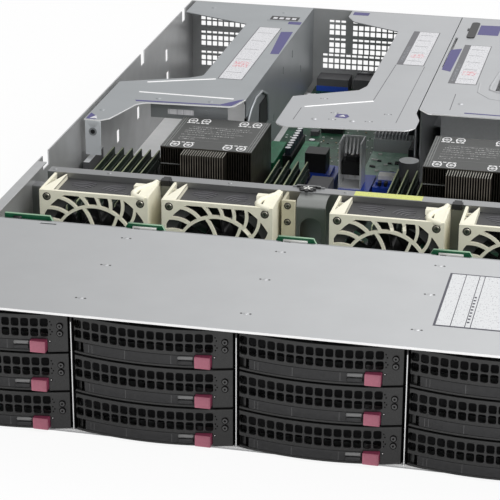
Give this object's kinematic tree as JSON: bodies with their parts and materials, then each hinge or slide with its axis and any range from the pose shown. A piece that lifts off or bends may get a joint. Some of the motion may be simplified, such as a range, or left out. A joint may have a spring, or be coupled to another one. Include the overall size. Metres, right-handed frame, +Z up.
{
  "type": "2u rack server",
  "caption": "Open-topped rack server with hot-swap drive bays at the front, a row of fans, coolers, memory, riser cages and power supplies.",
  "frame": {"origin": "on the underside, midway across, in the plane where the rack ears seat and the drive cage starts", "axes": "+Z up, +Y from the drive bays to the rear, +X to the right seen from the front"},
  "size_m": [0.4826, 0.7788, 0.087],
  "materials": {
    "zinc_sheet": "satin",
    "black_plastic": "matt",
    "lever_plastic": "semi-gloss",
    "release_plastic": "semi-gloss",
    "ivory_plastic": "matt",
    "rotor_plastic": "matt",
    "green_board": "satin",
    "cooler_metal": "satin",
    "ear_steel": "satin",
    "button_plastic": "semi-gloss"
  },
  "bodies": {
    "chassis": {"chassis_tray": "zinc_sheet", "rear_panel": "zinc_sheet", "drive_bay_cover": "zinc_sheet", "drive_cage": "zinc_sheet", "fan_cage": "zinc_sheet", "backplane": "green_board", "motherboard": "green_board", "memory_modules": "green_board", "processor_coolers": "cooler_metal", "rack_ears": "ear_steel"},
    "carrier_1_1": {"drive_carrier_1_1": "black_plastic"},
    "lever_1_1": {"carrier_lever_1_1": "lever_plastic"},
    "release_1_1": {"release_button_1_1": "release_plastic"},
    "carrier_1_2": {"drive_carrier_1_2": "black_plastic"},
    "lever_1_2": {"carrier_lever_1_2": "lever_plastic"},
    "release_1_2": {"release_button_1_2": "release_plastic"},
    "carrier_1_3": {"drive_carrier_1_3": "black_plastic"},
    "lever_1_3": {"carrier_lever_1_3": "lever_plastic"},
    "release_1_3": {"release_button_1_3": "release_plastic"},
    "carrier_1_4": {"drive_carrier_1_4": "black_plastic"},
    "lever_1_4": {"carrier_lever_1_4": "lever_plastic"},
    "release_1_4": {"release_button_1_4": "release_plastic"},
    "carrier_2_1": {"drive_carrier_2_1": "black_plastic"},
    "lever_2_1": {"carrier_lever_2_1": "lever_plastic"},
    "release_2_1": {"release_button_2_1": "release_plastic"},
    "carrier_2_2": {"drive_carrier_2_2": "black_plastic"},
    "lever_2_2": {"carrier_lever_2_2": "lever_plastic"},
    "release_2_2": {"release_button_2_2": "release_plastic"},
    "carrier_2_3": {"drive_carrier_2_3": "black_plastic"},
    "lever_2_3": {"carrier_lever_2_3": "lever_plastic"},
    "release_2_3": {"release_button_2_3": "release_plastic"},
    "carrier_2_4": {"drive_carrier_2_4": "black_plastic"},
    "lever_2_4": {"carrier_lever_2_4": "lever_plastic"},
    "release_2_4": {"release_button_2_4": "release_plastic"},
    "carrier_3_1": {"drive_carrier_3_1": "black_plastic"},
    "lever_3_1": {"carrier_lever_3_1": "lever_plastic"},
    "release_3_1": {"release_button_3_1": "release_plastic"},
    "carrier_3_2": {"drive_carrier_3_2": "black_plastic"},
    "lever_3_2": {"carrier_lever_3_2": "lever_plastic"},
    "release_3_2": {"release_button_3_2": "release_plastic"},
    "carrier_3_3": {"drive_carrier_3_3": "black_plastic"},
    "lever_3_3": {"carrier_lever_3_3": "lever_plastic"},
    "release_3_3": {"release_button_3_3": "release_plastic"},
    "carrier_3_4": {"drive_carrier_3_4": "black_plastic"},
    "lever_3_4": {"carrier_lever_3_4": "lever_plastic"},
    "release_3_4": {"release_button_3_4": "release_plastic"},
    "fan_1": {"fan_housing_1": "ivory_plastic"},
    "rotor_1": {"fan_rotor_1": "rotor_plastic"},
    "fan_2": {"fan_housing_2": "ivory_plastic"},
    "rotor_2": {"fan_rotor_2": "rotor_plastic"},
    "fan_3": {"fan_housing_3": "ivory_plastic"},
    "rotor_3": {"fan_rotor_3": "rotor_plastic"},
    "fan_4": {"fan_housing_4": "ivory_plastic"},
    "rotor_4": {"fan_rotor_4": "rotor_plastic"},
    "left_riser": {"left_riser_cage": "zinc_sheet"},
    "middle_riser": {"middle_riser_cage": "zinc_sheet"},
    "right_riser": {"right_riser_cage": "zinc_sheet"},
    "supply_1": {"power_supply_1": "zinc_sheet"},
    "supply_2": {"power_supply_2": "zinc_sheet"},
    "power_cap": {"power_button": "button_plastic"}
  },
  "joints": [
    {"name": "carrier_slide_1_1", "type": "slide", "parent": "chassis", "child": "carrier_1_1", "axis": [0, -1, 0], "range_m": [0, 0.165]},
    {"name": "lever_hinge_1_1", "type": "hinge", "parent": "carrier_1_1", "child": "lever_1_1", "pos_m": [-0.2072, -0.00016, 0.0065], "axis": [0, 0, -1], "range_deg": [0, 60]},
    {"name": "release_press_1_1", "type": "slide", "parent": "carrier_1_1", "child": "release_1_1", "axis": [0, 1, 0], "range_m": [0, 0.0025], "stiffness_N_per_m": 400},
    {"name": "carrier_slide_1_2", "type": "slide", "parent": "chassis", "child": "carrier_1_2", "axis": [0, -1, 0], "range_m": [0, 0.165]},
    {"name": "lever_hinge_1_2", "type": "hinge", "parent": "carrier_1_2", "child": "lever_1_2", "pos_m": [-0.0988, -0.00016, 0.0065], "axis": [0, 0, -1], "range_deg": [0, 60]},
    {"name": "release_press_1_2", "type": "slide", "parent": "carrier_1_2", "child": "release_1_2", "axis": [0, 1, 0], "range_m": [0, 0.0025], "stiffness_N_per_m": 400},
    {"name": "carrier_slide_1_3", "type": "slide", "parent": "chassis", "child": "carrier_1_3", "axis": [0, -1, 0], "range_m": [0, 0.165]},
    {"name": "lever_hinge_1_3", "type": "hinge", "parent": "carrier_1_3", "child": "lever_1_3", "pos_m": [0.0096, -0.00016, 0.0065], "axis": [0, 0, -1], "range_deg": [0, 60]},
    {"name": "release_press_1_3", "type": "slide", "parent": "carrier_1_3", "child": "release_1_3", "axis": [0, 1, 0], "range_m": [0, 0.0025], "stiffness_N_per_m": 400},
    {"name": "carrier_slide_1_4", "type": "slide", "parent": "chassis", "child": "carrier_1_4", "axis": [0, -1, 0], "range_m": [0, 0.165]},
    {"name": "lever_hinge_1_4", "type": "hinge", "parent": "carrier_1_4", "child": "lever_1_4", "pos_m": [0.118, -0.00016, 0.0065], "axis": [0, 0, -1], "range_deg": [0, 60]},
    {"name": "release_press_1_4", "type": "slide", "parent": "carrier_1_4", "child": "release_1_4", "axis": [0, 1, 0], "range_m": [0, 0.0025], "stiffness_N_per_m": 400},
    {"name": "carrier_slide_2_1", "type": "slide", "parent": "chassis", "child": "carrier_2_1", "axis": [0, -1, 0], "range_m": [0, 0.165]},
    {"name": "lever_hinge_2_1", "type": "hinge", "parent": "carrier_2_1", "child": "lever_2_1", "pos_m": [-0.2072, -0.00016, 0.034], "axis": [0, 0, -1], "range_deg": [0, 60]},
    {"name": "release_press_2_1", "type": "slide", "parent": "carrier_2_1", "child": "release_2_1", "axis": [0, 1, 0], "range_m": [0, 0.0025], "stiffness_N_per_m": 400},
    {"name": "carrier_slide_2_2", "type": "slide", "parent": "chassis", "child": "carrier_2_2", "axis": [0, -1, 0], "range_m": [0, 0.165]},
    {"name": "lever_hinge_2_2", "type": "hinge", "parent": "carrier_2_2", "child": "lever_2_2", "pos_m": [-0.0988, -0.00016, 0.034], "axis": [0, 0, -1], "range_deg": [0, 60]},
    {"name": "release_press_2_2", "type": "slide", "parent": "carrier_2_2", "child": "release_2_2", "axis": [0, 1, 0], "range_m": [0, 0.0025], "stiffness_N_per_m": 400},
    {"name": "carrier_slide_2_3", "type": "slide", "parent": "chassis", "child": "carrier_2_3", "axis": [0, -1, 0], "range_m": [0, 0.165]},
    {"name": "lever_hinge_2_3", "type": "hinge", "parent": "carrier_2_3", "child": "lever_2_3", "pos_m": [0.0096, -0.00016, 0.034], "axis": [0, 0, -1], "range_deg": [0, 60]},
    {"name": "release_press_2_3", "type": "slide", "parent": "carrier_2_3", "child": "release_2_3", "axis": [0, 1, 0], "range_m": [0, 0.0025], "stiffness_N_per_m": 400},
    {"name": "carrier_slide_2_4", "type": "slide", "parent": "chassis", "child": "carrier_2_4", "axis": [0, -1, 0], "range_m": [0, 0.165]},
    {"name": "lever_hinge_2_4", "type": "hinge", "parent": "carrier_2_4", "child": "lever_2_4", "pos_m": [0.118, -0.00016, 0.034], "axis": [0, 0, -1], "range_deg": [0, 60]},
    {"name": "release_press_2_4", "type": "slide", "parent": "carrier_2_4", "child": "release_2_4", "axis": [0, 1, 0], "range_m": [0, 0.0025], "stiffness_N_per_m": 400},
    {"name": "carrier_slide_3_1", "type": "slide", "parent": "chassis", "child": "carrier_3_1", "axis": [0, -1, 0], "range_m": [0, 0.165]},
    {"name": "lever_hinge_3_1", "type": "hinge", "parent": "carrier_3_1", "child": "lever_3_1", "pos_m": [-0.2072, -0.00016, 0.0615], "axis": [0, 0, -1], "range_deg": [0, 60]},
    {"name": "release_press_3_1", "type": "slide", "parent": "carrier_3_1", "child": "release_3_1", "axis": [0, 1, 0], "range_m": [0, 0.0025], "stiffness_N_per_m": 400},
    {"name": "carrier_slide_3_2", "type": "slide", "parent": "chassis", "child": "carrier_3_2", "axis": [0, -1, 0], "range_m": [0, 0.165]},
    {"name": "lever_hinge_3_2", "type": "hinge", "parent": "carrier_3_2", "child": "lever_3_2", "pos_m": [-0.0988, -0.00016, 0.0615], "axis": [0, 0, -1], "range_deg": [0, 60]},
    {"name": "release_press_3_2", "type": "slide", "parent": "carrier_3_2", "child": "release_3_2", "axis": [0, 1, 0], "range_m": [0, 0.0025], "stiffness_N_per_m": 400},
    {"name": "carrier_slide_3_3", "type": "slide", "parent": "chassis", "child": "carrier_3_3", "axis": [0, -1, 0], "range_m": [0, 0.165]},
    {"name": "lever_hinge_3_3", "type": "hinge", "parent": "carrier_3_3", "child": "lever_3_3", "pos_m": [0.0096, -0.00016, 0.0615], "axis": [0, 0, -1], "range_deg": [0, 60]},
    {"name": "release_press_3_3", "type": "slide", "parent": "carrier_3_3", "child": "release_3_3", "axis": [0, 1, 0], "range_m": [0, 0.0025], "stiffness_N_per_m": 400},
    {"name": "carrier_slide_3_4", "type": "slide", "parent": "chassis", "child": "carrier_3_4", "axis": [0, -1, 0], "range_m": [0, 0.165]},
    {"name": "lever_hinge_3_4", "type": "hinge", "parent": "carrier_3_4", "child": "lever_3_4", "pos_m": [0.118, -0.00016, 0.0615], "axis": [0, 0, -1], "range_deg": [0, 60]},
    {"name": "release_press_3_4", "type": "slide", "parent": "carrier_3_4", "child": "release_3_4", "axis": [0, 1, 0], "range_m": [0, 0.0025], "stiffness_N_per_m": 400},
    {"name": "fan_lift_1", "type": "slide", "parent": "chassis", "child": "fan_1", "axis": [0, 0, 1], "range_m": [0, 0.09]},
    {"name": "rotor_spin_1", "type": "hinge", "parent": "fan_1", "child": "rotor_1", "pos_m": [-0.157, 0.229, 0.0431], "axis": [0, 1, 0], "continuous": true},
    {"name": "fan_lift_2", "type": "slide", "parent": "chassis", "child": "fan_2", "axis": [0, 0, 1], "range_m": [0, 0.09]},
    {"name": "rotor_spin_2", "type": "hinge", "parent": "fan_2", "child": "rotor_2", "pos_m": [-0.0636, 0.229, 0.0431], "axis": [0, 1, 0], "continuous": true},
    {"name": "fan_lift_3", "type": "slide", "parent": "chassis", "child": "fan_3", "axis": [0, 0, 1], "range_m": [0, 0.09]},
    {"name": "rotor_spin_3", "type": "hinge", "parent": "fan_3", "child": "rotor_3", "pos_m": [0.0612, 0.229, 0.0431], "axis": [0, 1, 0], "continuous": true},
    {"name": "fan_lift_4", "type": "slide", "parent": "chassis", "child": "fan_4", "axis": [0, 0, 1], "range_m": [0, 0.09]},
    {"name": "rotor_spin_4", "type": "hinge", "parent": "fan_4", "child": "rotor_4", "pos_m": [0.1546, 0.229, 0.0431], "axis": [0, 1, 0], "continuous": true},
    {"name": "left_riser_lift", "type": "slide", "parent": "chassis", "child": "left_riser", "axis": [0, 0, 1], "range_m": [0, 0.09]},
    {"name": "middle_riser_lift", "type": "slide", "parent": "chassis", "child": "middle_riser", "axis": [0, 0, 1], "range_m": [0, 0.09]},
    {"name": "right_riser_lift", "type": "slide", "parent": "chassis", "child": "right_riser", "axis": [0, 0, 1], "range_m": [0, 0.09]},
    {"name": "supply_slide_1", "type": "slide", "parent": "chassis", "child": "supply_1", "axis": [0, 1, 0], "range_m": [0, 0.205]},
    {"name": "supply_slide_2", "type": "slide", "parent": "chassis", "child": "supply_2", "axis": [0, 1, 0], "range_m": [0, 0.205]},
    {"name": "power_press", "type": "slide", "parent": "chassis", "child": "power_cap", "axis": [0, 1, 0], "range_m": [0, 0.0015], "stiffness_N_per_m": 400}
  ]
}
